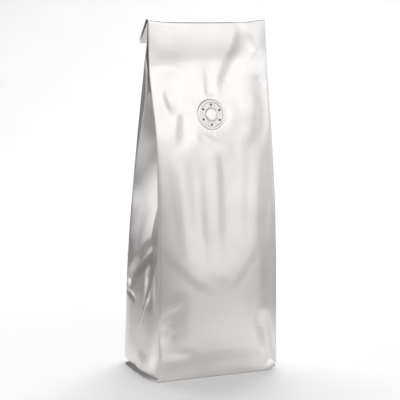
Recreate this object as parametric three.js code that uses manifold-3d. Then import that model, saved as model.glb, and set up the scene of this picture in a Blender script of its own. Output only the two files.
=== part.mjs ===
// A filled, standing coffee bag of metallised film: side gussets, a flat base, a closed
// top folded over to the back, and a one-way valve set in the front panel.
// Millimetres, +Z up, front panel towards -Y. The origin is the centre of the bag's
// bounding box at its base.

import * as THREE from 'three';
import { mergeVertices } from 'three/addons/utils/BufferGeometryUtils.js';
import Module from 'manifold-3d';

const wasm = await Module();
wasm.setup();

// ---- the film bag --------------------------------------------------------------
const BASE_WIDTH = 80;           // front panel, side to side, at the base
const TOP_WIDTH = 78.5;          // the same at the top fold
const GUSSET = 58;               // side gusset opened flat, and so the depth of the base
const HEIGHT = 219.4;            // standing, to the top of the fold
const CLOSED = 1.4;              // the four layers of film where the bag is pressed shut
const FOLD_EDGE = 0.45;          // film doubled on itself along a folded edge
const GUSSET_END = 206;          // height where the gusset folds disappear between the layers

// The four upright edges: how far in front of or behind the middle of the base, by height.
const FRONT_LEFT = [[0, -28.6], [60, -28.3], [127, -27.3], [146, -26.0], [193, -13.6], [219, -12.4]];
const FRONT_RIGHT = [[0, -29.2], [60, -29.1], [100, -27.6], [142, -23.0], [193, -14.2], [219, -10.8]];
const BACK = [[0, 29.4], [33, 29.0], [60, 27.0], [93, 20.9], [145, 8.3], [195, -6.0], [208, -10.3], [219, -11.0]];
// How far the filling pushes the film out past the flat panels, by height.
const FRONT_FILL = [[0, 0], [14, 1.6], [60, 3.0], [130, 3.0], [185, 0.8], [198, 0], [219, 0]];
const BACK_FILL = [[0, 0], [14, 1.6], [60, 2.8], [110, 3.2], [170, 2.0], [200, 0.3], [208, 0], [219, 0]];
const SIDE_FILL = [[0, 0], [14, 4.5], [28, 6.4], [55, 3.9], [80, 1.6], [110, 0], [219, 0]];
const FOLD_SHARP_FROM = 70;      // the gusset's middle fold is a crease above this height

// Soft ridges and hollows drawn across the front panel by the pull of the film, each from
// one place to another: [x, z] at both ends, half width, and height (a hollow is negative).
const FRONT_FOLDS = [
  { from: [-7, 141], to: [-2, 62], reach: 4.5, rise: 1.3 },
  { from: [-15, 136], to: [-13, 74], reach: 4, rise: -0.9 },
  { from: [3, 138], to: [2, 76], reach: 4, rise: -0.9 },
  { from: [20, 146], to: [13, 80], reach: 5, rise: 0.9 },
  { from: [27, 128], to: [28, 84], reach: 5, rise: -1.0 },
  { from: [-33, 178], to: [-23, 142], reach: 4, rise: -0.9 },
  { from: [30, 176], to: [24, 150], reach: 6, rise: -1.2 },
  { from: [-38, 193], to: [-16, 183], reach: 3.5, rise: 0.8 },
];

// ---- the base ------------------------------------------------------------------
const SOLE = 0.9;                // the panels and the bottom seal, folded under the bag
const TUCK_HEIGHT = 4;           // the hollow at each side where the gusset turns under
const TUCK_DEPTH = 3.2;
const SEAL_TIP = 1.2;            // how far the ends of the bottom seal show at the sides

// ---- the top, folded over to the back -------------------------------------------
const FOLD_INNER_RADIUS = 0.7;
const FLAP_OPENING = THREE.MathUtils.degToRad(43);   // between the flap and the upright top
const FLAP_LENGTH = 16.6;        // from the fold to the flap's lower edge
const FOLD_SAG = 1.4;            // the middle of the fold hangs lower than its ends
const SAG_FROM = 150;

// ---- the seam down the back -----------------------------------------------------
const SEAM_WIDTH = 10;
const SEAM_RELIEF = 0.7;
const SEAM_STEP = 0.5;           // the seam's edge, seen from above

// ---- the valve ------------------------------------------------------------------
const VALVE_RADIUS = 9.3;
const VALVE_THICKNESS = 2.0;
const VALVE_X = -2.2;
const VALVE_Z = 162.3;
const VALVE_PROUD = 0.5;         // how far its rim stands out of the film
const VALVE_GAP = 0.3;
const RIM_WIDTH = 1.8;
const RECESS_DEPTH = 0.7;
const BUTTON_RADIUS = 3.9;
const BUTTON_HEIGHT = 0.9;       // over the floor of the recess
const HOLES = 6;
const HOLE_CIRCLE_RADIUS = 5.9;
const HOLE_RADIUS = 0.55;
const HOLE_DEPTH = 0.8;

// ---- how finely the surfaces are divided ------------------------------------------
const PANEL_STEPS = 16;          // across the front, and across each side of the back seam
const GUSSET_STEPS = 5;          // across each half of a gusset
const RING_SPACING = 7.2;
const FOLD_RINGS = 7;
const FLAP_RINGS = 2;
const VALVE_SIDES = 48;
const HOLE_SIDES = 10;

const { lerp, smoothstep } = THREE.MathUtils;

// A smooth curve through [height, value] stations that never swings past them.
function byHeight(stations) {
  const last = stations.length - 1;
  const rise = stations.slice(1).map(([z, value], i) => (value - stations[i][1]) / (z - stations[i][0]));
  const slopes = stations.map((_, i) => {
    if (i === 0 || i === last) return rise[Math.min(i, last - 1)];
    const [before, after] = [rise[i - 1], rise[i]];
    return before * after <= 0 ? 0 : 2 * before * after / (before + after);
  });
  return (height) => {
    const z = THREE.MathUtils.clamp(height, stations[0][0], stations[last][0]);
    const i = Math.min(last - 1, stations.findLastIndex(([start]) => start <= z));
    const span = stations[i + 1][0] - stations[i][0];
    const t = (z - stations[i][0]) / span;
    return stations[i][1] * (1 + 2 * t) * (1 - t) ** 2 + slopes[i] * span * t * (1 - t) ** 2
      + stations[i + 1][1] * t * t * (3 - 2 * t) + slopes[i + 1] * span * t * t * (t - 1);
  };
}

const frontLeftAt = byHeight(FRONT_LEFT);
const frontRightAt = byHeight(FRONT_RIGHT);
const backAt = byHeight(BACK);
const frontFillAt = byHeight(FRONT_FILL);
const backFillAt = byHeight(BACK_FILL);
const sideFillAt = byHeight(SIDE_FILL);
const halfWidthAt = (z) => lerp(BASE_WIDTH, TOP_WIDTH, z / HEIGHT) / 2;

// The rounded swell of a panel between its two edges, for across from -1 to 1.
const swell = (across) => (1 - across ** 2) * (1 + 0.5 * across ** 2);

// How far the folds lift the front panel at a point on it.
function foldLift(x, z) {
  const point = new THREE.Vector3(x, 0, z);
  const nearest = new THREE.Vector3();
  return FRONT_FOLDS.reduce((lift, { from, to, reach, rise }) => {
    const line = new THREE.Line3(new THREE.Vector3(from[0], 0, from[1]), new THREE.Vector3(to[0], 0, to[1]));
    const away = line.closestPointToPoint(point, true, nearest).distanceTo(point);
    return lift + rise * Math.exp(-((away / reach) ** 2));
  }, 0);
}

// The front panel's Y at a height and a place across it. Its edges stay straight folds.
function frontPanel(across, z) {
  const edges = lerp(frontLeftAt(z), frontRightAt(z), (across + 1) / 2);
  return edges - frontFillAt(z) * swell(across) - foldLift(across * halfWidthAt(z), z) * (1 - across ** 4);
}

// The back panel's Y, with the upright seam folded flat to one side of the middle.
function backPanel(across, z) {
  const half = halfWidthAt(z);
  const onSeam = smoothstep(across * half, -SEAM_STEP, 0)
    * (1 - smoothstep(across * half, SEAM_WIDTH, SEAM_WIDTH + SEAM_STEP));
  const flatBack = Math.max(backAt(z), frontPanel(across, z) + CLOSED);
  return flatBack + backFillAt(z) * swell(across) + onSeam * SEAM_RELIEF;
}

// One half of the gusset on one side (-1 or 1), for part from 0 at the panel's folded edge
// to 1 at the gusset's middle fold. end is -1 for the front half and 1 for the back half.
function gussetPoint(side, end, part, z) {
  const front = frontPanel(side, z);
  const back = backPanel(side, z);
  const halfDepth = (back - front) / 2;
  const meanHalfDepth = (backAt(z) - (frontLeftAt(z) + frontRightAt(z)) / 2) / 2;
  const foldedIn = Math.sqrt(Math.max(0, (GUSSET / 2) ** 2 - meanHalfDepth ** 2));
  const open = smoothstep(halfDepth, CLOSED, 4 * CLOSED) * (1 - smoothstep(z, GUSSET_END - 6, GUSSET_END));
  const middleIn = foldedIn * open - sideFillAt(z);
  const roundness = lerp(2, 1, smoothstep(z, FOLD_SHARP_FROM - 40, FOLD_SHARP_FROM));
  const tuck = TUCK_DEPTH * (z > SOLE ? 1 - smoothstep(z, SOLE, TUCK_HEIGHT) : 0);
  const tip = z > SOLE ? 0 : SEAL_TIP * part ** 8;
  const fromMiddle = 1 - part;
  const inward = middleIn * (1 - fromMiddle ** roundness) + tuck * (1 - fromMiddle ** 4) - tip;
  const mouth = halfDepth - Math.min(FOLD_EDGE, (back - front) / 3);
  const middleGap = 0.02 * open;
  const y = (front + back) / 2 + end * lerp(mouth, middleGap, part);
  return new THREE.Vector2(side * (halfWidthAt(z) - inward), y);
}

// Places across the back, right to left, with a step at each edge of the seam.
function backPlaces(z) {
  const half = halfWidthAt(z);
  const seam = [SEAM_WIDTH + SEAM_STEP, SEAM_WIDTH, 0, -SEAM_STEP].map((x) => x / half);
  const spread = (from, to, steps) => Array.from({ length: steps }, (_, i) => lerp(from, to, i / steps));
  return [
    ...spread(1, seam[0], PANEL_STEPS / 2), ...spread(seam[0], seam[1], 1),
    ...spread(seam[1], seam[2], 2), ...spread(seam[2], seam[3], 1),
    ...spread(seam[3], -1, PANEL_STEPS / 2), -1,
  ];
}

// The outline of the bag at one height, anticlockwise from its front left edge.
function outline(z) {
  const points = [];
  for (let i = 0; i <= PANEL_STEPS; i += 1) {
    const across = 2 * i / PANEL_STEPS - 1;
    points.push(new THREE.Vector2(across * halfWidthAt(z), frontPanel(across, z)));
  }
  for (let i = 0; i <= GUSSET_STEPS; i += 1) points.push(gussetPoint(1, -1, i / GUSSET_STEPS, z));
  for (let i = GUSSET_STEPS - 1; i >= 0; i -= 1) points.push(gussetPoint(1, 1, i / GUSSET_STEPS, z));
  for (const across of backPlaces(z)) {
    points.push(new THREE.Vector2(across * halfWidthAt(z), backPanel(across, z)));
  }
  for (let i = 0; i <= GUSSET_STEPS; i += 1) points.push(gussetPoint(-1, 1, i / GUSSET_STEPS, z));
  for (let i = GUSSET_STEPS - 1; i >= 0; i -= 1) points.push(gussetPoint(-1, -1, i / GUSSET_STEPS, z));
  return points;
}

const foldRadius = FOLD_INNER_RADIUS + CLOSED;       // outside of the fold
const foldHeight = HEIGHT - foldRadius;              // height of the axis it turns about
const foldTurn = Math.PI - FLAP_OPENING;

// The middle of the fold and of the film next to it hangs a little.
function sagAt(x, z) {
  return FOLD_SAG * (1 - (x / halfWidthAt(z)) ** 2) * smoothstep(z, SAG_FROM, HEIGHT);
}

function uprightRing(z) {
  return outline(z).map((p) => new THREE.Vector3(p.x, p.y, z - sagAt(p.x, z)));
}

// A ring of the closed top carried round the fold by an angle, then on down the flap.
function foldedRing(turn, down) {
  return outline(foldHeight).map((p) => {
    const front = frontPanel(p.x / halfWidthAt(foldHeight), foldHeight);
    const radius = foldRadius - Math.min(p.y - front, CLOSED);
    const back = front + foldRadius - Math.cos(turn) * radius + Math.sin(turn) * down;
    const up = foldHeight + Math.sin(turn) * radius + Math.cos(turn) * down;
    return new THREE.Vector3(p.x, back, up - sagAt(p.x, HEIGHT));
  });
}

// All rings, from the base up, over the fold and down to the flap's edge.
function bagRings() {
  const rings = [0, SOLE, SOLE + 0.05].map(uprightRing);
  const tuckSteps = 3;
  for (let i = 1; i <= tuckSteps; i += 1) rings.push(uprightRing(lerp(SOLE, TUCK_HEIGHT, i / tuckSteps)));
  const bodySteps = Math.round((foldHeight - TUCK_HEIGHT) / RING_SPACING);
  for (let i = 1; i <= bodySteps; i += 1) rings.push(uprightRing(lerp(TUCK_HEIGHT, foldHeight, i / bodySteps)));
  for (let i = 1; i <= FOLD_RINGS; i += 1) rings.push(foldedRing(foldTurn * i / FOLD_RINGS, 0));
  for (let i = 1; i <= FLAP_RINGS; i += 1) rings.push(foldedRing(foldTurn, FLAP_LENGTH * i / FLAP_RINGS));
  return rings;
}

// Leaves only positions, with shared corners merged, as a closed body needs.
function closedBody(geometry) {
  const body = geometry.clone();
  body.deleteAttribute('normal');
  body.deleteAttribute('uv');
  return mergeVertices(body, 1e-4);
}

// The bag's skin: a capped tube whose rings are carried to the rings above.
function bagGeometry() {
  const rings = bagRings();
  const around = rings[0].length;
  const along = rings.length - 1;
  const geometry = new THREE.CylinderGeometry(1, 1, 1, around, along);
  const place = geometry.attributes.position;
  for (let i = 0; i < place.count; i += 1) {
    const ring = rings[Math.round((place.getY(i) + 0.5) * along)];
    const isCapMiddle = Math.hypot(place.getX(i), place.getZ(i)) < 0.5;
    const turn = Math.atan2(place.getX(i), place.getZ(i)) / (2 * Math.PI);
    const target = new THREE.Vector3();
    if (isCapMiddle) ring.forEach((p) => target.addScaledVector(p, 1 / around));
    else target.copy(ring[(Math.round(turn * around) + around) % around]);
    place.setXYZ(i, target.x, target.y, target.z);
  }
  return closedBody(geometry);
}

// ---- the valve, built face up on its own axis, back face at zero -------------------
function valveDisc() {
  const top = VALVE_THICKNESS;
  const floor = top - RECESS_DEPTH;
  const outline2d = new THREE.Path();
  outline2d.moveTo(0, 0);
  outline2d.lineTo(VALVE_RADIUS, 0);
  outline2d.lineTo(VALVE_RADIUS, top - 0.5);
  outline2d.quadraticCurveTo(VALVE_RADIUS, top, VALVE_RADIUS - 0.5, top);
  outline2d.lineTo(VALVE_RADIUS - RIM_WIDTH, top - 0.1);
  outline2d.lineTo(VALVE_RADIUS - RIM_WIDTH - 0.4, floor);
  outline2d.lineTo(BUTTON_RADIUS + 0.3, floor);
  outline2d.lineTo(BUTTON_RADIUS, floor + 0.4);
  outline2d.quadraticCurveTo(BUTTON_RADIUS * 0.6, floor + BUTTON_HEIGHT, 0, floor + BUTTON_HEIGHT);
  return new THREE.LatheGeometry(outline2d.getPoints(3), VALVE_SIDES);
}

function toManifold(geometry) {
  const body = closedBody(geometry);
  return new wasm.Manifold(new wasm.Mesh({
    numProp: 3,
    vertProperties: new Float32Array(body.attributes.position.array),
    triVerts: new Uint32Array(body.index.array),
  }));
}

function fromManifold(manifold) {
  const { vertProperties, triVerts } = manifold.getMesh();
  const geometry = new THREE.BufferGeometry();
  geometry.setAttribute('position', new THREE.BufferAttribute(vertProperties, 3));
  geometry.setIndex(new THREE.BufferAttribute(triVerts, 1));
  geometry.computeVertexNormals();
  return geometry;
}

// Where the valve sits: on the front panel, square to it, facing out of the bag.
function valvePlacement() {
  const half = halfWidthAt(VALVE_Z);
  const across = VALVE_X / half;
  const step = VALVE_RADIUS;
  const dx = (frontPanel((VALVE_X + step) / half, VALVE_Z) - frontPanel((VALVE_X - step) / half, VALVE_Z)) / (2 * step);
  const dz = (frontPanel(across, VALVE_Z + step) - frontPanel(across, VALVE_Z - step)) / (2 * step);
  const facing = new THREE.Vector3(dx, -1, dz).normalize();
  const onFilm = new THREE.Vector3(VALVE_X, frontPanel(across, VALVE_Z), VALVE_Z - sagAt(VALVE_X, VALVE_Z));
  const turn = new THREE.Quaternion().setFromUnitVectors(new THREE.Vector3(0, 1, 0), facing);
  const backFace = onFilm.clone().addScaledVector(facing, VALVE_PROUD - VALVE_THICKNESS);
  return new THREE.Matrix4().compose(backFace, turn, new THREE.Vector3(1, 1, 1));
}

function valveGeometry() {
  let disc = toManifold(valveDisc());
  for (let i = 0; i < HOLES; i += 1) {
    const angle = 2 * Math.PI * i / HOLES;
    const hole = new THREE.CylinderGeometry(HOLE_RADIUS, HOLE_RADIUS, 2 * HOLE_DEPTH, HOLE_SIDES);
    hole.translate(HOLE_CIRCLE_RADIUS * Math.sin(angle), VALVE_THICKNESS - RECESS_DEPTH, HOLE_CIRCLE_RADIUS * Math.cos(angle));
    disc = disc.subtract(toManifold(hole));
  }
  return fromManifold(disc);
}

// The seat pressed into the film round and behind the valve.
function valveSeat(placement) {
  const deep = VALVE_THICKNESS + VALVE_GAP;
  const seat = new THREE.CylinderGeometry(VALVE_RADIUS + VALVE_GAP, VALVE_RADIUS + VALVE_GAP, 2 * deep, VALVE_SIDES);
  seat.translate(0, deep - VALVE_GAP, 0);
  return seat.applyMatrix4(placement);
}

const placement = valvePlacement();
const bagShape = fromManifold(toManifold(bagGeometry()).subtract(toManifold(valveSeat(placement))));
const valveShape = valveGeometry().applyMatrix4(placement);

// Both pieces shift together, so that the bag's bounding box is centred over the origin.
bagShape.computeBoundingBox();
const middle = bagShape.boundingBox.getCenter(new THREE.Vector3());
const shift = new THREE.Vector3(-middle.x, -middle.y, -bagShape.boundingBox.min.z);

const film = new THREE.MeshStandardMaterial({ color: 0xc9c7c6, metalness: 0.9, roughness: 0.4 });
const moulded = new THREE.MeshStandardMaterial({ color: 0xbfbdbc, metalness: 0.6, roughness: 0.45 });

const bag = new THREE.Mesh(bagShape.translate(...shift), film);
bag.name = 'bag';
const valve = new THREE.Mesh(valveShape.translate(...shift), moulded);
valve.name = 'valve';

const coffeeBag = new THREE.Group();
coffeeBag.add(bag, valve);

export default coffeeBag;
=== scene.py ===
import math
from collections import namedtuple

import bmesh
import bpy
import numpy as np
from mathutils import Matrix, Vector


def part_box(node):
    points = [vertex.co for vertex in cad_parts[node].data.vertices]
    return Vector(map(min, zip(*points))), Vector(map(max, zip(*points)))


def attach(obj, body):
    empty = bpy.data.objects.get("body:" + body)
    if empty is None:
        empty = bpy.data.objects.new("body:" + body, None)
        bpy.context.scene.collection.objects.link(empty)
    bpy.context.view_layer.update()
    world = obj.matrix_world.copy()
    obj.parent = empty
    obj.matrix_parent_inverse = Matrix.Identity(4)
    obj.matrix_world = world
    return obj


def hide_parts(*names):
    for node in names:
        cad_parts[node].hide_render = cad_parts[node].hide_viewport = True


bl_info = {
    "name": "Gusseted coffee bag",
    "version": (1, 0, 0),
    "blender": (4, 5, 0),
    "location": "View3D > Sidebar > Coffee bag",
    "description": "A filled coffee bag of satin metallised film with a one-way valve, on a pale floor",
    "category": "Object",
}

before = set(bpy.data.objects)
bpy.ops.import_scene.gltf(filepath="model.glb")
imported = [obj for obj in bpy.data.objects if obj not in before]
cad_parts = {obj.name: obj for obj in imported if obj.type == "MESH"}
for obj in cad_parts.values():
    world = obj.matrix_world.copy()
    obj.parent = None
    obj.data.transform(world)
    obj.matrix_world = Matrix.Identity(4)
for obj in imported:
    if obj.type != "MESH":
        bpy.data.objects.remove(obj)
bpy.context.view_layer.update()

# The bag is drawn in millimetres, from the middle of its folded base, front panel towards -Y.
MM = 0.001

# ---- the film bag, with driving sizes close to those of its solid --------------------------
TOP_WIDTH = 78.5            # front panel at the top fold
CLOSED = 1.4                # the four layers of film where the bag is pressed shut
FOLD_EDGE = 0.3             # film doubled on itself along a folded edge
FOLD_GAP = 0.02             # between the two halves of a gusset at its middle fold
# Heights and where the panels' edges lie from front to back, and how far their middles swell.
FRONT_LEFT = ((0, -29.8), (60, -28.8), (127, -27.3), (146, -26.0), (193, -13.6), (219, -12.4))
FRONT_RIGHT = ((0, -29.2), (60, -29.1), (100, -27.6), (142, -23.0), (193, -14.2), (219, -10.8))
BACK = ((0, 29.4), (33, 29.0), (60, 27.0), (93, 20.9), (145, 8.3), (195, -6.0), (208, -10.3), (219, -11.0))
FRONT_FILL = ((0, 0), (14, 1.8), (58, 4.4), (100, 3.2), (135, 1.9), (185, 0.8), (198, 0), (219, 0))
BACK_FILL = ((0, 0), (14, 1.6), (60, 2.8), (110, 3.2), (170, 2.0), (200, 0.3), (208, 0), (219, 0))
# How far in the middle of a side lies: it bulges near the floor and is folded in above.
SIDE_MIDDLE = ((0, -4.4), (8, -4.6), (24, -2.8), (40, -1.2), (56, 0), (68, 1.2), (79, 3.2), (95, 6.4),
               (110, 9.8), (125, 13.2), (140, 17), (155, 21), (176, 26), (195, 28.5), (219, 29))
# The lip of film that turns in along the back edge of each gusset.
LEFT_LIP = ((0, 0), (107, 0), (140, 2.8), (155, 6), (176, 8.6), (190, 5), (202, 0), (219, 0))
RIGHT_LIP = ((0, 0), (120, 0), (150, 3), (172, 6), (192, 2), (202, 0), (219, 0))
FOLD_ROUND_TO = 5           # the middle fold is a crease where it is deeper than this
BULGE_FLATNESS = 2.5        # how flat the middle of a bulging side is
SLIT = 8                    # how far in the folded gusset is open where the bag is pressed shut
SOLE = 0.9                  # the panels folded under the bag
SOLE_CREASE = 0.05          # where the sides turn up sharply from it
TUCK_HEIGHT = 5             # the hollow at each side where the gusset turns under
TUCK_DEPTH = 5
SEAL_TIP = 1.2              # how far the ends of the bottom seal show at the sides
FOLD_INNER_RADIUS = 0.7     # the top, folded over to the back
FLAP_OPENING = math.radians(43)
FLAP_LENGTH = 16.6
LOOSE_FROM_TO = (26, 40)    # towards its ends the fold is looser and its layers part
LOOSE_RISE = 1.0
LOOSE_OPENING = 1.0
FOLD_SAG = 0.5              # how far the middle of the top fold hangs, dying out down to this height
SAG_FROM = 150

CORNERS = ((-1, -1, 0.6, 3), (1, -1, 8, 7), (1, 1, 6, 8), (-1, 1, 7, 10))  # side, end, radius, height
EDGE_RADIUS = 0.8           # of the folds down the bag's four edges
SEAM_WIDTH = 10             # the fin seam down the middle of the back
SEAM_RELIEF = 0.7
SEAM_SOFTNESS = 0.4
DEEPEST_BETWEEN = (5, 150)  # heights between which the bag reaches furthest to the front and the back
SIDE_FOLDS_FROM_TO = (6, 24)    # depth of the bag over which the folds of its sides come in
EDGE_COLUMNS = (0, 0.3, 0.8)    # the film's mesh is closer along the folded edges
EDGE_BAND = 1.6                 # and even from here on
SOLE_SPACING = 1.6              # its rings lie this much further apart under the bag
TUCK_RINGS, FOLD_RINGS, FLAP_RINGS = 7, 10, 15

VALVE_X, VALVE_Z = -1.8, 162.3  # on the front panel, across and up
VALVE_RADIUS = 9.3
VALVE_BODY_RADIUS = 7.3     # of its body, behind the flange that lies on the film
VALVE_SUNK = 1.5            # how far its back face lies behind the film
VALVE_SEAT = 2.2            # how deep the film is pressed in behind it
SEAT_EDGE = 0.4             # the film is back in its own face this far inside the rim
CLEAR_OF_VALVE = 5          # the front's folds come in over this far outside the rim
CRIMP_PLACE, CRIMP_REACH = 1.8, 2.2  # the ring of fine crimps outside the rim
CRIMP_RISE = 0.1
CRIMP_COUNT = 23


def lerp(a, b, t):
    """The value a share t of the way from a to b."""
    return a + (b - a) * t


def smoothstep(value, low, high):
    """0 below low, 1 above high and smooth between, for numbers and arrays."""
    t = np.clip((np.asarray(value, float) - low) / (high - low), 0, 1)
    return t * t * (3 - 2 * t)


def by_height(stations):
    """A smooth curve through (height, value) stations that never swings past them."""
    heights = [z for z, _ in stations]
    values = [v for _, v in stations]
    last = len(stations) - 1
    rises = [(values[i + 1] - values[i]) / (heights[i + 1] - heights[i]) for i in range(last)]
    slopes = [rises[0]]
    for before, after in zip(rises, rises[1:]):
        slopes.append(0 if before * after <= 0 else 2 * before * after / (before + after))
    slopes.append(rises[-1])

    def at(height):
        z = min(max(height, heights[0]), heights[-1])
        i = min(last - 1, max(j for j in range(last + 1) if heights[j] <= z))
        span = heights[i + 1] - heights[i]
        t = (z - heights[i]) / span
        return (values[i] * (1 + 2 * t) * (1 - t) ** 2 + slopes[i] * span * t * (1 - t) ** 2
                + values[i + 1] * t * t * (3 - 2 * t) + slopes[i + 1] * span * t * t * (t - 1))

    return at


front_left_at = by_height(FRONT_LEFT)
front_right_at = by_height(FRONT_RIGHT)
back_at = by_height(BACK)
front_fill_at = by_height(FRONT_FILL)
back_fill_at = by_height(BACK_FILL)
side_middle_at = by_height(SIDE_MIDDLE)
lip_at = {-1: by_height(LEFT_LIP), 1: by_height(RIGHT_LIP)}


# ---- folds in the film ---------------------------------------------------------------------
# A fold runs from a start to an end, downwards or to the right, in millimetres across and up the
# panel. bow: how far its middle bends to the right or above. rise: how far it stands proud, below
# zero for a hollow. reach: how far it spreads to the left or below and to the right or above, at
# its start and at its end. taper: the share of its length over which each end dies away. crisp: 1
# for a sharp crease, 0 for a soft swell.
Fold = namedtuple("Fold", "name start end bow rise reach_start reach_end taper crisp")
FRONT_FOLDS = (
    Fold("top band", (-50, 206), (48, 207), 0, 0.8, (14, 14), (12, 14), (0.05, 0.05), 0),
    Fold("under the top band", (-46, 191), (-8, 181), 5, -0.8, (10, 14), (6, 10), (0.05, 0.5), 0.5),
    Fold("above the valve", (-0.5, 200), (-1.5, 168), 0, -0.55, (6, 6), (4, 5), (0.6, 0.2), 0),
    Fold("top corner hollow", (22, 222), (20, 198), 0, -0.2, (5, 6), (4, 6), (0.05, 0.5), 0),
    Fold("top corner crinkle", (27, 205), (36, 199), 0, -0.25, (4, 4), (3, 3), (0.4, 0.2), 0.1),
    Fold("right edge crinkle", (31, 186), (37, 178), 0, -0.35, (4, 4), (3, 3), (0.4, 0.2), 0.3),
    Fold("corner valley", (31, 212), (4, 171), -1, -1, (11, 8), (6, 6), (0.15, 0.3), 0.1),
    Fold("left dimple", (-30.5, 182), (-25.5, 160), 0, -1.02, (4.5, 9), (4.5, 8), (0.45, 0.45), 0.1),
    Fold("dimple by the valve", (-19.5, 169), (-24, 138), 1, -1.1, (5, 9), (8, 9), (0.35, 0.5), 0.1),
    Fold("right hollow", (30, 196), (24, 136), 9, -0.6, (9, 5), (9, 6), (0.35, 0.45), 0),
    Fold("right ridge", (17, 188), (15, 138), 11, 0.35, (12, 7), (9, 7), (0.4, 0.4), 0),
    Fold("wedge by the valve", (5, 164), (28, 159.5), 0, 0.6, (12, 8), (10, 7), (0.3, 0.5), 0.7),
    Fold("under the valve", (-15, 157), (10, 140), -3, -0.55, (7, 5), (7, 5), (0.35, 0.45), 0),
    Fold("left swell", (-27, 150), (-17, 64), 0, 0.45, (11, 10), (9, 8), (0.35, 0.4), 0),
    Fold("middle valley left", (-16, 150), (-14, 62), 0, -0.5, (12, 8), (8, 7), (0.3, 0.5), 0),
    Fold("middle ridge", (-4, 149), (-2, 56), 0, 0.3, (8, 8), (9, 7), (0.15, 0.35), 0),
    Fold("arch ridge", (1, 147), (9, 118), 3, 0.35, (6, 7), (6, 8), (0.25, 0.6), 0),
    Fold("middle valley right", (8, 153), (4, 66), 0, -0.5, (9, 11), (8, 9), (0.2, 0.6), 0),
    Fold("right swell", (31, 152), (24, 68), 0, 0.4, (9, 7), (9, 7), (0.35, 0.4), 0),
    Fold("right groove", (33, 126), (31, 78), 0, -0.3, (8, 6), (7, 5), (0.5, 0.35), 0),
    Fold("low right groove", (38, 92), (32, 30), 0, -0.6, (10, 6), (8, 6), (0.35, 0.4), 0),
    Fold("left arm", (-39, 90), (2, 54), -4, 0.42, (8, 22), (7, 24), (0.4, 0.2), 0.1),
    Fold("right arm", (0, 53), (30, 96), -2, 0.3, (6, 24), (8, 22), (0.2, 0.5), 0.1),
    Fold("right wedge", (27, 42), (39, 4), 0, -2.2, (7, 7), (9, 5), (0.4, 0.1), 0.3),
    Fold("nick valley", (-46, 54), (-22, 50), 1, -0.3, (6, 8), (3, 4), (0.02, 0.5), 0.2),
    Fold("nick ridge", (-46, 40), (-22, 50), 0, 1.0, (6, 3.5), (4, 2.5), (0.02, 0.6), 1),
    Fold("nick", (-42, 36.5), (-36, 38.5), 0, -1.5, (2.2, 1.8), (1.6, 1.4), (0.02, 0.6), 0.8),
    Fold("low left hollow", (-40, 58), (-38, 14), 0, -1.6, (4, 22), (4, 18), (0.4, 0.35), 0),
    Fold("ripple", (-41, 33), (-27, 35), 1, -0.35, (4, 4), (3, 3), (0.1, 0.5), 0.3),
    Fold("low ripple", (-40, 25), (-26, 29), 1, -0.35, (4, 4), (3, 3), (0.1, 0.5), 0.3),
    Fold("low left wave", (-38, 17), (-12, 12), 2, -0.5, (6, 6), (5, 5), (0.1, 0.5), 0.1),
    Fold("base flare", (-44, 3), (46, 5), 6, -0.6, (8, 8), (8, 8), (0.05, 0.05), 0.2),
)

# On the side panels a fold runs across from the front edge to the back edge, measured from the
# middle of the bag, and a rise stands out to the side.
LEFT_FOLDS = (
    Fold("gusset valley", (-14, 122), (1, 68), 0, -1.2, (12, 8), (18, 12), (0.3, 0.3), 0.4),
    Fold("rear swell", (19, 120), (28, 70), 0, 2.0, (14, 5), (16, 3), (0.35, 0.3), 0),
    Fold("side band", (-12, 84), (27, 52), 0, -2.4, (10, 9), (10, 8), (0.2, 0.1), 0.2),
    Fold("crease line", (-25, 81), (1, 24), 0, 0.8, (1.9, 1.9), (1.8, 1.8), (0.1, 0.15), 1),
    Fold("wedge", (-9, 66), (-6, 42), 0, -0.6, (4, 4), (2.5, 2.5), (0.3, 0.1), 0.4),
    Fold("front triangle", (-8, 84), (-16, 40), 0, -1.3, (17, 9), (8, 8), (0.25, 0.25), 0.1),
    Fold("kink", (8, 44), (29, 48), 0, -0.9, (3, 3), (3, 3), (0.3, 0.1), 0.6),
    Fold("low side", (-31, 3), (2, 5), 0, 1.4, (2.5, 13), (2.5, 12), (0.05, 0.35), 0.1),
)
RIGHT_FOLDS = (
    Fold("side streak", (6, 126), (20, 80), 0, 0.8, (6, 7), (5, 6), (0.3, 0.3), 0.3),
    Fold("side band", (2, 92), (-24, 50), 0, -1.1, (8, 7), (7, 6), (0.3, 0.15), 0.3),
    Fold("side valley", (14, 84), (22, 40), 0, -1.0, (7, 7), (6, 6), (0.3, 0.3), 0.2),
    Fold("kink", (-28, 44), (-6, 52), 0, -0.9, (5, 5), (4, 4), (0.1, 0.4), 0.5),
    Fold("low side", (-10, 20), (26, 5), 0, -0.9, (6, 7), (6, 7), (0.4, 0.1), 0),
)
BACK_FOLDS = (
    Fold("back top left", (-36, 198), (-18, 152), -3, -0.9, (9, 11), (8, 9), (0.3, 0.5), 0.1),
    Fold("back top right", (32, 202), (15, 158), 3, -0.9, (9, 11), (8, 9), (0.2, 0.5), 0.2),
    Fold("back valley left", (-17, 160), (-9, 72), 2, -1.0, (11, 10), (8, 8), (0.45, 0.5), 0),
    Fold("back swell left", (-31, 146), (-20, 66), -3, 0.6, (10, 9), (10, 8), (0.5, 0.5), 0),
    Fold("back valley right", (29, 156), (17, 64), -3, -1.1, (10, 11), (8, 9), (0.45, 0.5), 0),
    Fold("back dimple", (-35, 128), (-27, 110), 0, -0.6, (7, 7), (7, 7), (0.5, 0.5), 0),
    Fold("back crease", (12, 66), (38, 44), 0, 0.7, (8, 9), (6, 7), (0.5, 0.05), 0.4),
    Fold("back corner left", (-26, 44), (-40, 6), 0, -1.0, (8, 7), (8, 8), (0.4, 0.05), 0.2),
    Fold("back flare", (-44, 4), (44, 4), 5, -0.6, (8, 8), (8, 8), (0.05, 0.05), 0.2),
)


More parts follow.
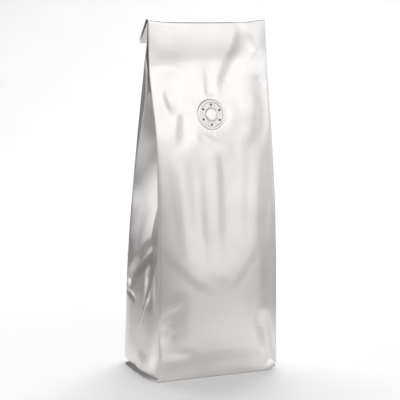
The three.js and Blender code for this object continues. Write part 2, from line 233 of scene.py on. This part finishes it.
def fold_lift(across, up, folds):
    """How far folds stand proud of the film at places on a panel."""
    total = np.zeros(np.broadcast(across, up).shape)
    for fold in folds:
        run, climb = fold.end[0] - fold.start[0], fold.end[1] - fold.start[1]
        length = math.hypot(run, climb)
        along = ((across - fold.start[0]) * run + (up - fold.start[1]) * climb) / length ** 2
        along = np.clip(along, 0, 1)
        off = (run * (up - fold.start[1]) - climb * (across - fold.start[0])) / length
        off = off - fold.bow * 4 * along * (1 - along)
        minus, plus = (lerp(fold.reach_start[i], fold.reach_end[i], along) for i in (0, 1))
        near = np.clip(1 - np.abs(off) / np.where(off > 0, plus, minus), 0, 1)
        profile = lerp((1 - (1 - near) ** 2) ** 2, near ** 2, fold.crisp)
        ends = smoothstep(along, 0, fold.taper[0]) * smoothstep(1 - along, 0, fold.taper[1])
        total += fold.rise * profile * ends
    return total


def linear(hex_colour):
    """A linear RGBA colour from an sRGB hex value."""
    channels = [int(hex_colour[i:i + 2], 16) / 255 for i in (1, 3, 5)]
    return (*[c / 12.92 if c <= 0.04045 else ((c + 0.055) / 1.055) ** 2.4 for c in channels], 1)


def colour(name, description, hex_colour):
    """A colour setting with an sRGB default."""
    return bpy.props.FloatVectorProperty(name=name, description=description, default=linear(hex_colour),
                                         size=4, min=0, max=1, subtype="COLOR")


class BagSizes(bpy.types.PropertyGroup):
    """Sizes of the film bag"""
    base_width: bpy.props.FloatProperty(
        name="Base width", description="Front panel from side to side at the base",
        default=0.080, unit="LENGTH")
    gusset: bpy.props.FloatProperty(
        name="Gusset", description="Side gusset opened flat, and so the depth of the base", default=0.058,
        unit="LENGTH")
    height: bpy.props.FloatProperty(
        name="Height", description="From the floor to the top fold", default=0.2194, unit="LENGTH")
    grid: bpy.props.FloatProperty(
        name="Film grid", description="Spacing of the film's mesh", default=0.00088, unit="LENGTH")


class BagColours(bpy.types.PropertyGroup):
    """Colours of the film, the valve and the floor"""
    film: colour("Film", "Metallised film", "#e3dfdd")
    film_rubbed: colour("Rubbed film", "Film where its varnish is rubbed", "#e8e5e4")
    valve: colour("Valve", "The valve's plastic", "#f6f3f1")
    # Painted shade and mould texture: the recess ring round the valve's button is painted darker in specks.
    recess_specks_and_shade: colour("Valve recess", "Specks in the ring round the valve's button", "#cfcbc8")
    # Painted shade: the valve's holes are painted this dark colour.
    hole_shade: colour("Holes", "The depth of the valve's holes", "#57514d")
    paper: colour("Paper", "The floor", "#f7f7f7")
    paper_cloud: colour("Paper, lighter", "Clouding in the floor", "#fafafa")


class StageSizes(bpy.types.PropertyGroup):
    """Camera, floor and lights"""
    camera_place: bpy.props.FloatVectorProperty(
        name="Camera place", description="From the middle of the base", default=(-0.3404, -0.7979, 0.2246),
        unit="LENGTH", size=3)
    camera_turn: bpy.props.FloatProperty(
        name="Camera turn", description="Heading, clockwise from straight at the front panel",
        default=math.radians(23.1), subtype="ANGLE")
    camera_dip: bpy.props.FloatProperty(
        name="Camera dip", description="How far the camera looks down",
        default=math.radians(7.74), subtype="ANGLE")
    lens: bpy.props.FloatProperty(
        name="Lens", description="Focal length on a 36 mm sensor, in millimetres", default=124.8)
    room_light: bpy.props.FloatProperty(
        name="Room, front", description="Brightness of the room in front of the bag", default=0.42)
    room_dark: bpy.props.FloatProperty(
        name="Room, back", description="Brightness of the room behind the bag on its left", default=0.15)
    paper_near: bpy.props.FloatProperty(
        name="Paper width, near", description="Half of the paper's width at its front edge",
        default=0.135, unit="LENGTH")
    paper_far: bpy.props.FloatProperty(
        name="Paper width, far", description="Half of the paper's width behind the bag",
        default=0.4, unit="LENGTH")
    paper_front: bpy.props.FloatProperty(
        name="Paper front", description="How far the paper reaches towards the camera",
        default=0.13, unit="LENGTH")
    paper_flat: bpy.props.FloatProperty(
        name="Paper flat", description="How far it lies flat behind the bag", default=1.0, unit="LENGTH")
    paper_curve: bpy.props.FloatProperty(
        name="Paper curve", description="Radius of the paper's curve behind the bag",
        default=0.6, unit="LENGTH")
    paper_rise: bpy.props.FloatProperty(
        name="Paper rise", description="How far the paper goes on upwards", default=2.0, unit="LENGTH")


def half_width(z, sizes):
    """Half of the bag's width at a height, in millimetres."""
    return lerp(sizes.base_width, TOP_WIDTH * MM, z * MM / sizes.height) / MM / 2


def swell(across):
    """The rounded swell of a panel between its two edges, for across from -1 to 1."""
    return (1 - across ** 2) * (1 + 0.5 * across ** 2)


def front_panel(across, z, sizes):
    """The front panel's Y at a height and places across it."""
    edges = lerp(front_left_at(z), front_right_at(z), (across + 1) / 2)
    return edges - front_fill_at(z) * swell(across)


def back_panel(across, z, sizes):
    """The back panel's Y at a height and places across it."""
    flat_back = np.maximum(back_at(z), front_panel(across, z, sizes) + CLOSED)
    return flat_back + back_fill_at(z) * swell(across)


def gusset(side, end, part, z, sizes):
    """X and Y of places on one half of a gusset, part 0 at the panel's edge and 1 at the middle fold."""
    front = front_panel(np.float64(side), z, sizes)
    back = back_panel(np.float64(side), z, sizes)
    half_depth = (back - front) / 2
    open_share = smoothstep(half_depth, CLOSED, 4 * CLOSED)
    middle_in = lerp(SLIT, side_middle_at(z), open_share)
    bulging = smoothstep(-middle_in, 0, 3)
    roundness = 2 - smoothstep(middle_in, 0, FOLD_ROUND_TO) + BULGE_FLATNESS * bulging
    tuck = TUCK_DEPTH * (1 - smoothstep(z, SOLE, TUCK_HEIGHT)) if z > SOLE else 0
    tip = 0 if z > SOLE else SEAL_TIP * part ** 8
    from_middle = 1 - part
    lip = lip_at[side](z) if end > 0 else 0
    lip_share = lip / (sizes.gusset / MM / 2)
    past_lip = np.clip((part - lip_share) / (1 - lip_share), 0, 1)
    inward = middle_in * (1 - (1 - past_lip) ** roundness) + tuck * (1 - from_middle ** 4) - tip
    mouth = half_depth - min(FOLD_EDGE, (back - front) / 3)
    on_lip = np.clip(part / max(lip_share, 1e-6), 0, 1)
    opened = (1 - min(lip / half_depth, 1) * on_lip) * (1 - past_lip)
    spread = lerp(1 - part ** 4, opened, open_share)
    y = (front + back) / 2 + end * (mouth * spread + FOLD_GAP)
    return side * (half_width(z, sizes) - inward), y


class Layout:
    """How many columns of the film's mesh each part of the bag gets, and where they lie."""

    def __init__(self, sizes):
        grid = sizes.grid / MM
        self.panel = self.places(sizes.base_width / MM, grid)
        halves = round(sizes.gusset / MM / 2 / grid)
        self.half = np.linspace(0, 1, halves + 1)
        self.columns = 2 * len(self.panel) + 4 * len(self.half) - 2

    @staticmethod
    def places(width, grid):
        """Places across a panel from -1 to 1, closer together at its folded edges."""
        edge = np.array(EDGE_COLUMNS) * 2 / width
        first = -1 + EDGE_BAND * 2 / width
        inner = np.linspace(first, -first, round((width - 2 * EDGE_BAND) / grid))
        return np.concatenate([-1 + edge, inner, (1 - edge)[::-1]])


def outline(z, sizes, layout):
    """The outline of the bag at one height, anticlockwise from its front left edge."""
    half = half_width(z, sizes)
    out, back = layout.half, layout.half[::-1][1:]
    parts = [
        (layout.panel * half, front_panel(layout.panel, z, sizes)),
        gusset(1, -1, out, z, sizes),
        gusset(1, 1, back, z, sizes),
        (layout.panel[::-1] * half, back_panel(layout.panel[::-1], z, sizes)),
        gusset(-1, 1, out, z, sizes),
        gusset(-1, -1, back, z, sizes),
    ]
    return np.concatenate([np.stack(np.broadcast_arrays(x, y), axis=1) for x, y in parts])


def sag_at(x, z, sizes):
    """How far the middle of the top fold, and the film near it, hangs."""
    share = smoothstep(z, SAG_FROM, sizes.height / MM)
    return FOLD_SAG * (1 - (x / half_width(z, sizes)) ** 2) * share


def upright_ring(z, sizes, layout):
    """One ring of the film at a height."""
    flat = outline(z, sizes, layout)
    round_corners(flat, z, sizes)
    return np.column_stack([flat, z - sag_at(flat[:, 0], z, sizes)])


def sole_ring(share, sizes, layout):
    """One ring of the base, share 1 at its edge and 0 at the seal across its middle."""
    ring = upright_ring(0, sizes, layout)
    middle = (front_left_at(0) + back_at(0)) / 2
    ring[:, 1] = lerp(middle, ring[:, 1], share)
    return ring


def folded_ring(turn, down, sizes, layout):
    """A ring of the closed top carried round the fold by an angle, then on down the flap."""
    radius = FOLD_INNER_RADIUS + CLOSED
    height = sizes.height / MM - radius
    flat = outline(height, sizes, layout)
    front = front_panel(flat[:, 0] / half_width(height, sizes), height, sizes)
    started = float(smoothstep(turn, 0, math.pi / 2))
    loose = started * smoothstep(np.abs(flat[:, 0]), *LOOSE_FROM_TO)
    layer = np.minimum(flat[:, 1] - front, CLOSED) * (1 + LOOSE_OPENING * loose)
    from_axis = radius + LOOSE_RISE * loose - layer
    y = front + radius - math.cos(turn) * from_axis + math.sin(turn) * down
    z = height + math.sin(turn) * from_axis + math.cos(turn) * down
    return np.column_stack([flat[:, 0], y, z - sag_at(flat[:, 0], sizes.height / MM, sizes)])


def held_at_edges(across):
    """1 over the middle of a panel and 0 at its edges, where no fold may move the film."""
    return 1 - np.abs(np.clip(across, -1, 1)) ** 8


def front_relief(x, z, sizes):
    """How far the front film stands proud of its plain panel: folds, and crimps round the valve's seat."""
    from_valve = np.hypot(x - VALVE_X, z - VALVE_Z)
    clear = smoothstep(from_valve, VALVE_RADIUS, VALVE_RADIUS + CLEAR_OF_VALVE)
    folds = fold_lift(x, z, FRONT_FOLDS) * held_at_edges(x / half_width(z, sizes)) * clear
    angle = np.arctan2(x - VALVE_X, z - VALVE_Z)
    crimp_ring = np.clip(1 - np.abs(from_valve - VALVE_RADIUS - CRIMP_PLACE) / CRIMP_REACH, 0, 1)
    return folds + CRIMP_RISE * crimp_ring * np.cos(CRIMP_COUNT * angle + 2 * np.sin(3 * angle))


def folded_film(rings, sizes, layout):
    """The upright rings with every panel's folds pressed into them."""
    panel, side = len(layout.panel), 2 * len(layout.half) - 1
    front, right = slice(0, panel), slice(panel, panel + side)
    back, left = slice(panel + side, 2 * panel + side), slice(2 * panel + side, None)
    x, y, z = (rings[..., i] for i in range(3))
    open_share = smoothstep(depth_at(z[:, :1]), *SIDE_FOLDS_FROM_TO)
    side_share = open_share * held_at_edges(np.linspace(-1, 1, side))
    x[:, right] += fold_lift(y[:, right], z[:, right], RIGHT_FOLDS) * side_share
    x[:, left] -= fold_lift(y[:, left], z[:, left], LEFT_FOLDS) * side_share
    y[:, back] += fold_lift(x[:, back], z[:, back], BACK_FOLDS) * held_at_edges(layout.panel)
    y[:, back] += seam_relief(x[:, back], z[:, back])
    relief = front_relief(x[:, front], z[:, front], sizes)
    from_valve = np.hypot(x[:, front] - VALVE_X, z[:, front] - VALVE_Z)
    seat = VALVE_SEAT * (1 - smoothstep(from_valve, VALVE_BODY_RADIUS, VALVE_RADIUS - SEAT_EDGE))
    y[:, front] += seat - relief
    return rings


def depth_at(heights):
    """How deep the bag is from front to back, for a column of heights."""
    depth = [back_at(z) - (front_left_at(z) + front_right_at(z)) / 2 for z in heights.ravel()]
    return np.array(depth).reshape(heights.shape)


def seam_relief(x, z):
    """The fin seam down the middle of the back, laid flat to one side."""
    near, far = (smoothstep(x, edge - SEAM_SOFTNESS, edge + SEAM_SOFTNESS) for edge in (0, SEAM_WIDTH))
    across = near * (1 - far)
    return SEAM_RELIEF * across * smoothstep(z, 0, 3)


def round_corners(ring, z, sizes):
    """Rounds the bag's four upright edges, and its corners more near the floor, in place."""
    half = half_width(z, sizes)
    edge_radius = EDGE_RADIUS * smoothstep(back_at(z) - front_left_at(z), 3, 12)
    for side, end, radius, height in CORNERS:
        radius = max(radius * float(1 - smoothstep(z, 0, height)) ** 1.5, edge_radius)
        edge_y = {(-1, -1): front_left_at, (1, -1): front_right_at}.get((side, end), back_at)(z)
        inner_x, inner_y = side * (half - radius), edge_y - end * radius
        out_x, out_y = (ring[:, 0] - inner_x) * side, (ring[:, 1] - inner_y) * end
        reach = np.hypot(out_x, out_y)
        outside = (out_x > 0) & (out_y > 0) & (reach > radius)
        share = np.where(outside, radius / np.maximum(reach, 1e-6), 1)
        ring[:, 0] = inner_x + side * out_x * share
        ring[:, 1] = inner_y + end * out_y * share


def film_rings(sizes, layout):
    """All rings, from the seal under the base, out and up, over the fold and down the flap."""
    grid = sizes.grid / MM
    fold_height = sizes.height / MM - FOLD_INNER_RADIUS - CLOSED
    sole_steps = round(sizes.gusset / MM / 2 / grid / SOLE_SPACING)
    body_steps = round((fold_height - TUCK_HEIGHT) / grid)
    turn = math.pi - FLAP_OPENING
    rings = [sole_ring(s, sizes, layout) for s in np.linspace(0.02, 1, sole_steps)]
    heights = [*np.linspace(SOLE, TUCK_HEIGHT, TUCK_RINGS)]
    heights += [*np.linspace(TUCK_HEIGHT, fold_height, body_steps + 1)[1:]]
    heights.insert(1, SOLE + SOLE_CREASE)
    upright = np.array([upright_ring(z, sizes, layout) for z in heights])
    rings += list(folded_film(upright, sizes, layout))
    rings += [folded_ring(turn * t, 0, sizes, layout) for t in np.linspace(0, 1, FOLD_RINGS)[1:]]
    rings += [folded_ring(turn, FLAP_LENGTH * t, sizes, layout) for t in np.linspace(0, 1, FLAP_RINGS)[1:]]
    return np.array(rings)


def smooth_object(name, bm, material):
    """Puts an object made of a bmesh into the scene, with smooth shading and one material."""
    for face in bm.faces:
        face.smooth = True
    mesh = bpy.data.meshes.new(name)
    bm.to_mesh(mesh)
    bm.free()
    mesh.materials.append(material)
    made = bpy.data.objects.new(name, mesh)
    bpy.context.scene.collection.objects.link(made)
    return made


def new_piece(name, bm, material, slot, *nodes):
    """Makes a piece of a bmesh, riding on the root body and standing for CAD nodes."""
    piece = smooth_object(name, bm, material)
    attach(piece, "root")
    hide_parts(*nodes)


def frame_shift(sizes):
    """From the middle of the base, where the bag is drawn, to the shared frame."""
    low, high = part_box("bag")
    heights = np.linspace(*DEEPEST_BETWEEN, 80)
    across = np.linspace(-1, 1, 33)
    front = min(front_panel(across, z, sizes).min() for z in heights)
    back = max(back_panel(across, z, sizes).max() for z in heights) + SEAM_RELIEF
    return Vector((0, (low.y + high.y) / 2 - (front + back) / 2 * MM, low.z))


def add_node(tree, kind, settings=None, inputs=None):
    """Adds one shader node with its settings, input values and links."""
    node = tree.nodes.new(kind)
    for name, value in (settings or {}).items():
        setattr(node, name, value)
    for name, value in (inputs or {}).items():
        if isinstance(value, bpy.types.NodeSocket):
            tree.links.new(value, node.inputs[name])
        else:
            node.inputs[name].default_value = value
    return node


def new_material(name):
    """An empty node material and its tree."""
    material = bpy.data.materials.new(name)
    material.use_nodes = True
    material.node_tree.nodes.clear()
    return material, material.node_tree


def noise(tree, place, size, detail=3.0):
    """A noise pattern with features of about a size in millimetres, as a value round 0.5."""
    return add_node(tree, "ShaderNodeTexNoise", inputs={
        "Vector": place, "Scale": 1 / (size * MM), "Detail": detail, "Roughness": 0.55}).outputs["Fac"]


def mapped(tree, value, low, high):
    """A noise value, which keeps to 0.3 to 0.7, mapped onto a range."""
    return add_node(tree, "ShaderNodeMapRange", inputs={
        "Value": value, "From Min": 0.3, "From Max": 0.7, "To Min": low, "To Max": high}).outputs["Result"]


def bump(tree, height, depth, before=None):
    """A bump of a depth in millimetres, on top of another if one is given."""
    inputs = {"Height": height, "Distance": depth * MM, "Strength": 1.0}
    if before is not None:
        inputs["Normal"] = before
    return add_node(tree, "ShaderNodeBump", inputs=inputs).outputs["Normal"]


def satin_film(colours):
    """Metallised polyester laminate, matt-varnished outside.

    A mirror of aluminium under a satin skin: the studio's lights show as broad soft patches. The
    film is stiff and thin, so it is never quite flat: long shallow waves, and a fine grain from the
    laminating glue. The varnish is rubbed a little brighter in places by handling.
    """
    material, tree = new_material("satin_metallised_film")
    place = add_node(tree, "ShaderNodeTexCoord").outputs["Object"]
    tint = add_node(tree, "ShaderNodeMix", {"data_type": "RGBA"}, {
        "Factor": mapped(tree, noise(tree, place, 34), 0, 1), 6: colours.film, 7: colours.film_rubbed})
    rough = mapped(tree, noise(tree, place, 12, 4.0), 0.33, 0.39)
    waves = bump(tree, noise(tree, place, 16, 2.0), 0.16)
    crinkle = bump(tree, noise(tree, place, 4.5, 2.0), 0.012, waves)
    grain = bump(tree, noise(tree, place, 0.5), 0.0016, crinkle)
    shader = add_node(tree, "ShaderNodeBsdfPrincipled", inputs={
        "Base Color": tint.outputs[2], "Metallic": 1.0, "Roughness": rough, "Normal": grain})
    add_node(tree, "ShaderNodeOutputMaterial", inputs={"Surface": shader.outputs["BSDF"]})
    return material


def valve_plastic(colours):
    """Natural polyethylene, injection moulded, with the foil shining through it.

    The milky plastic scatters light a little under its skin, so edges and the domed button look
    soft and pale; a fine mould texture in the recess breaks up the sheen. The recess is also painted
    darker with its specks, as painted shade, and the holes are painted dark, as painted shade.
    """
    material, tree = new_material("pearl_polyethylene")
    place = add_node(tree, "ShaderNodeTexCoord").outputs["Object"]
    recess = add_node(tree, "ShaderNodeAttribute", {"attribute_name": "recess"}).outputs["Fac"]
    stipple = noise(tree, place, 0.7, 2.0)
    # The recess ring is speckled with mould texture and painted darker there, as painted shade in the
    # recess.
    speck = add_node(tree, "ShaderNodeMath", {"operation": "MULTIPLY"}, {
        0: recess, 1: mapped(tree, stipple, 0, 1)})
    tint = add_node(tree, "ShaderNodeMix", {"data_type": "RGBA"}, {
        "Factor": speck.outputs[0], 6: colours.valve, 7: colours.recess_specks_and_shade})
    # Painted shade: the holes are painted dark where they are pressed in.
    depth = add_node(tree, "ShaderNodeAttribute", {"attribute_name": "hole_shade"}).outputs["Fac"]
    tint = add_node(tree, "ShaderNodeMix", {"data_type": "RGBA"}, {
        "Factor": depth, 6: tint.outputs[2], 7: colours.hole_shade})
    rough = mapped(tree, noise(tree, place, 3), 0.24, 0.32)
    skin = bump(tree, speck.outputs[0], 0.035, bump(tree, noise(tree, place, 2.5), 0.02))
    shader = add_node(tree, "ShaderNodeBsdfPrincipled", inputs={
        "Base Color": tint.outputs[2], "Metallic": 0.55, "Roughness": rough, "IOR": 1.51, "Normal": skin,
        "Coat Weight": 0.15, "Coat Roughness": 0.15})
    add_node(tree, "ShaderNodeOutputMaterial", inputs={"Surface": shader.outputs["BSDF"]})
    return material


def pale_floor(colours):
    """Matt white studio paper: uncoated, with a faint cloudy tooth of fibres."""
    material, tree = new_material("studio_paper")
    place = add_node(tree, "ShaderNodeTexCoord").outputs["Object"]
    tint = add_node(tree, "ShaderNodeMix", {"data_type": "RGBA"}, {
        "Factor": mapped(tree, noise(tree, place, 60), 0, 1), 6: colours.paper, 7: colours.paper_cloud})
    fibres = bump(tree, noise(tree, place, 0.6), 0.02)
    shader = add_node(tree, "ShaderNodeBsdfPrincipled", inputs={
        "Base Color": tint.outputs[2], "Roughness": 0.9, "Normal": fibres})
    add_node(tree, "ShaderNodeOutputMaterial", inputs={"Surface": shader.outputs["BSDF"]})
    return material


class COFFEEBAG_OT_film(bpy.types.Operator):
    """Makes the film bag"""
    bl_idname = "coffeebag.film"
    bl_label = "Film bag"

    def execute(self, context):
        sizes = context.scene.coffee_bag
        layout = Layout(sizes)
        rings = film_rings(sizes, layout)
        rows, columns = rings.shape[:2]
        bm = bmesh.new()
        bmesh.ops.create_cone(bm, cap_ends=False, segments=columns, radius1=1, radius2=1, depth=1)
        uprights = [e for e in bm.edges if abs(e.verts[0].co.z - e.verts[1].co.z) > 0.5]
        bmesh.ops.subdivide_edges(bm, edges=uprights, cuts=rows - 2, use_grid_fill=True)
        shift = frame_shift(sizes)
        for vert in bm.verts:
            column = round(math.atan2(vert.co.y, vert.co.x) / math.tau * columns) % columns
            row = round((vert.co.z + 0.5) * (rows - 1))
            vert.co = Vector(rings[row, column]) * MM + shift
        bmesh.ops.holes_fill(bm, edges=[e for e in bm.edges if e.is_boundary], sides=0)
        bmesh.ops.recalc_face_normals(bm, faces=bm.faces)
        new_piece("film_bag", bm, satin_film(context.scene.coffee_bag_colours), "film", "bag")
        return {"FINISHED"}


def towards(azimuth, elevation):
    """A direction from the bag: azimuth in degrees from straight ahead of the front panel, turning right."""
    a, e = math.radians(azimuth), math.radians(elevation)
    return Vector((math.sin(a) * math.cos(e), -math.cos(a) * math.cos(e), math.sin(e)))


# The room is lightest towards this azimuth and elevation, and darkest from this cosine on.
ROOM_LIGHTEST = (35, -5)
ROOM_DARKEST = -0.9
# Soft lights round the bag: azimuth and elevation in degrees, distance, width and height in metres,
# and the brightness of the panel's face. All of them look at one point in the bag.
LIGHTS_AIM = Vector((0, 0, 0.1))
LIGHTS = (
    ("front_softbox", 2, 31, 1.6, 2.2, 1.25, 1.06),
    ("low_board", 22, -2, 1.5, 0.76, 0.5, 0.8),
    ("left_softbox", -98, 12, 1.5, 1.05, 1.1, 1.15),
    ("left_rear_board", -127, 8, 1.6, 0.75, 1.0, 0.6),
    ("left_low_board", -72, -28, 1.5, 0.95, 0.65, 0.5),
    ("right_board", 69, 16, 1.5, 1.1, 1.0, 0.68),
    ("back_softbox", 145, 36, 1.7, 1.2, 1.2, 1.5),
    ("overhead_softbox", 165, 62, 1.5, 1.6, 0.9, 3.2),
)


VALVE_PROFILE = (  # radius and height over the valve's back face, from the middle outwards
    (0, 2.3), (1.4, 2.28), (2.6, 2.2), (3.5, 2.06), (4.0, 1.8), (4.2, 1.5), (4.35, 1.34), (4.6, 1.3),
    (7.3, 1.3), (7.5, 1.36), (7.7, 1.52), (7.95, 1.7), (8.3, 1.8), (8.7, 1.78), (9.05, 1.68), (9.27, 1.56),
    (9.3, 1.5), (9.2, 1.42), (7.3, 1.4), (7.2, 0.1), (7.0, 0))
PROFILE_SPOTS, VALVE_STEPS = 64, 192    # of the valve's mesh, along the profile and round
VALVE_FACE_FROM = 1.0       # height over the back face from which the holes are pressed in
RECESS_INNER, RECESS_OUTER = (3.9, 4.5), (7.0, 7.6)  # radii over which the stippled ring sets in and ends
HOLE_COUNT, HOLE_CIRCLE, HOLE_RADIUS, HOLE_DEPTH = 6, 6.2, 0.62, 1.1
HOLES_TURN = math.radians(4)
HOLE_WALL = (0.6, 1.1)      # shares of its radius over which a hole falls away


class COFFEEBAG_OT_valve(bpy.types.Operator):
    """Makes the one-way valve set in the front panel"""
    bl_idname = "coffeebag.valve"
    bl_label = "Valve"

    def execute(self, context):
        sizes = context.scene.coffee_bag
        bm = bmesh.new()
        profile = np.array(VALVE_PROFILE)
        lengths = np.concatenate([[0], np.cumsum(np.hypot(*np.diff(profile, axis=0).T))])
        spots = np.linspace(0, lengths[-1], PROFILE_SPOTS)
        radii, heights = (np.interp(spots, lengths, profile[:, i]) for i in (0, 1))
        verts = [bm.verts.new((r, 0, h)) for r, h in zip(radii, heights)]
        edges = [bm.edges.new(pair) for pair in zip(verts, verts[1:])]
        bmesh.ops.spin(bm, geom=verts + edges, cent=(0, 0, 0), axis=(0, 0, 1), angle=math.tau,
                       steps=VALVE_STEPS, use_merge=True)
        bmesh.ops.remove_doubles(bm, verts=bm.verts, dist=1e-4)
        bmesh.ops.holes_fill(bm, edges=[e for e in bm.edges if e.is_boundary], sides=0)
        # A mask of each pressed-in hole, for the holes' painted shade.
        hole_shade = bm.verts.layers.float.new("hole_shade")
        for vert in bm.verts:
            if vert.co.z < VALVE_FACE_FROM:
                continue
            for i in range(HOLE_COUNT):
                angle = HOLES_TURN + math.tau * i / HOLE_COUNT
                centre = Vector((math.sin(angle), math.cos(angle))) * HOLE_CIRCLE
                away = (vert.co.xy - centre).length / HOLE_RADIUS
                inside = 1 - float(smoothstep(away, *HOLE_WALL))
                vert.co.z -= HOLE_DEPTH * inside
                vert[hole_shade] += inside
        bmesh.ops.recalc_face_normals(bm, faces=bm.faces)
        # A mask of the ring round the button, for its specks and its painted shade.
        recess = bm.verts.layers.float.new("recess")
        for vert in bm.verts:
            out = vert.co.xy.length
            vert[recess] = float(smoothstep(out, *RECESS_INNER) * (1 - smoothstep(out, *RECESS_OUTER)))
        bmesh.ops.transform(bm, matrix=valve_matrix(sizes), verts=bm.verts)
        new_piece("valve_disc", bm, valve_plastic(context.scene.coffee_bag_colours), "valve", "valve")
        return {"FINISHED"}


def valve_matrix(sizes):
    """From the valve's own axes, face up and millimetres, to its place on the film in metres."""
    def film(x, z):
        return float(front_panel(np.float64(x / half_width(z, sizes)), z, sizes))

    step = VALVE_RADIUS
    lean_x = (film(VALVE_X + step, VALVE_Z) - film(VALVE_X - step, VALVE_Z)) / (2 * step)
    lean_z = (film(VALVE_X, VALVE_Z + step) - film(VALVE_X, VALVE_Z - step)) / (2 * step)
    facing = Vector((lean_x, -1, lean_z)).normalized()
    upward = (Vector((0, 0, 1)) - facing * facing.z).normalized()
    turn = Matrix((upward.cross(facing), upward, facing)).transposed().to_4x4()
    on_film = Vector((VALVE_X, film(VALVE_X, VALVE_Z), VALVE_Z - float(sag_at(VALVE_X, VALVE_Z, sizes))))
    back_face = on_film - facing * VALVE_SUNK
    drawn = Matrix.Translation(back_face) @ turn
    return Matrix.Translation(frame_shift(sizes)) @ Matrix.Scale(MM, 4) @ drawn


class COFFEEBAG_OT_stage(bpy.types.Operator):
    """Sets the floor, the lights and the camera"""
    bl_idname = "coffeebag.stage"
    bl_label = "Floor, lights and camera"

    def execute(self, context):
        scene = context.scene
        stage = scene.coffee_bag_stage
        shift = frame_shift(scene.coffee_bag)
        back = Vector((math.sin(stage.camera_turn), math.cos(stage.camera_turn), 0))
        self.paper_sweep(scene, stage, back)
        for name, azimuth, elevation, distance, width, height, brightness in LIGHTS:
            light = bpy.data.lights.new(name, "AREA")
            light.shape = "RECTANGLE"
            light.size, light.size_y = width, height
            light.energy = brightness * math.pi * width * height
            holder = bpy.data.objects.new(name, light)
            scene.collection.objects.link(holder)
            direction = towards(azimuth, elevation)
            holder.location = direction * distance + LIGHTS_AIM
            holder.rotation_euler = direction.to_track_quat("Z", "Y").to_euler()

        camera = bpy.data.cameras.new("camera")
        camera.lens = stage.lens
        camera.sensor_width = 36
        camera.clip_start, camera.clip_end = 0.01, 50
        holder = bpy.data.objects.new("camera", camera)
        scene.collection.objects.link(holder)
        look = back * math.cos(stage.camera_dip) - Vector((0, 0, math.sin(stage.camera_dip)))
        holder.location = Vector(stage.camera_place) + shift
        holder.rotation_euler = look.to_track_quat("-Z", "Y").to_euler()
        scene.camera = holder

        world = bpy.data.worlds.new("studio")
        world.use_nodes = True
        tree = world.node_tree
        direction = add_node(tree, "ShaderNodeTexCoord").outputs["Generated"]
        facing = add_node(tree, "ShaderNodeVectorMath", {"operation": "DOT_PRODUCT"},
                          {0: direction, 1: towards(*ROOM_LIGHTEST)}).outputs["Value"]
        strength = add_node(tree, "ShaderNodeMapRange", inputs={
            "Value": facing, "From Min": ROOM_DARKEST, "From Max": 1.0,
            "To Min": stage.room_dark, "To Max": stage.room_light}).outputs["Result"]
        background = tree.nodes["Background"]
        background.inputs["Color"].default_value = (1, 1, 1, 1)
        tree.links.new(strength, background.inputs["Strength"])
        scene.world = world
        scene.view_settings.view_transform = "Standard"
        return {"FINISHED"}

    @staticmethod
    def paper_sweep(scene, stage, back):
        """A roll of white paper: flat under the bag, then curving up behind it."""
        bm = bmesh.new()
        bmesh.ops.create_grid(bm, x_segments=1, y_segments=1, size=0.5)
        side = Vector((back.y, -back.x, 0))
        for vert in bm.verts:
            behind = lerp(-stage.paper_front, stage.paper_flat, vert.co.y + 0.5)
            reach = stage.paper_far if behind > 0 else stage.paper_near
            vert.co = side * vert.co.x * 2 * reach + back * behind
        far = [e for e in bm.edges if all(v.co.dot(back) > 0 for v in e.verts)]
        centre = back * stage.paper_flat + Vector((0, 0, stage.paper_curve))
        curl = bmesh.ops.spin(bm, geom=far, cent=centre, axis=side, angle=math.pi / 2, steps=24)["geom_last"]
        curl_edges = [g for g in curl if isinstance(g, bmesh.types.BMEdge)]
        top = bmesh.ops.extrude_edge_only(bm, edges=curl_edges)["geom"]
        for vert in (g for g in top if isinstance(g, bmesh.types.BMVert)):
            vert.co.z += stage.paper_rise
        paper = smooth_object("paper", bm, pale_floor(scene.coffee_bag_colours))


class COFFEEBAG_PT_panel(bpy.types.Panel):
    """The bag's sizes and pieces"""
    bl_idname = "COFFEEBAG_PT_panel"
    bl_label = "Coffee bag"
    bl_space_type = "VIEW_3D"
    bl_region_type = "UI"
    bl_category = "Coffee bag"

    def draw(self, context):
        for place, group in GROUPS.items():
            for name in group.__annotations__:
                self.layout.prop(getattr(context.scene, place), name)
        for operator in OPERATORS:
            self.layout.operator(operator.bl_idname)


GROUPS = {"coffee_bag": BagSizes, "coffee_bag_colours": BagColours, "coffee_bag_stage": StageSizes}
OPERATORS = (COFFEEBAG_OT_film, COFFEEBAG_OT_valve, COFFEEBAG_OT_stage)


def register():
    """Registers every class and the settings on the scene."""
    for cls in (*GROUPS.values(), *OPERATORS, COFFEEBAG_PT_panel):
        bpy.utils.register_class(cls)
    for name, group in GROUPS.items():
        setattr(bpy.types.Scene, name, bpy.props.PointerProperty(type=group))


def unregister():
    """Takes them away again."""
    for name in GROUPS:
        delattr(bpy.types.Scene, name)
    for cls in reversed((*GROUPS.values(), *OPERATORS, COFFEEBAG_PT_panel)):
        bpy.utils.unregister_class(cls)


def main():
    """Makes every piece in order."""
    register()
    bpy.ops.coffeebag.film()
    bpy.ops.coffeebag.valve()
    bpy.ops.coffeebag.stage()


if __name__ == "__main__":
    main()
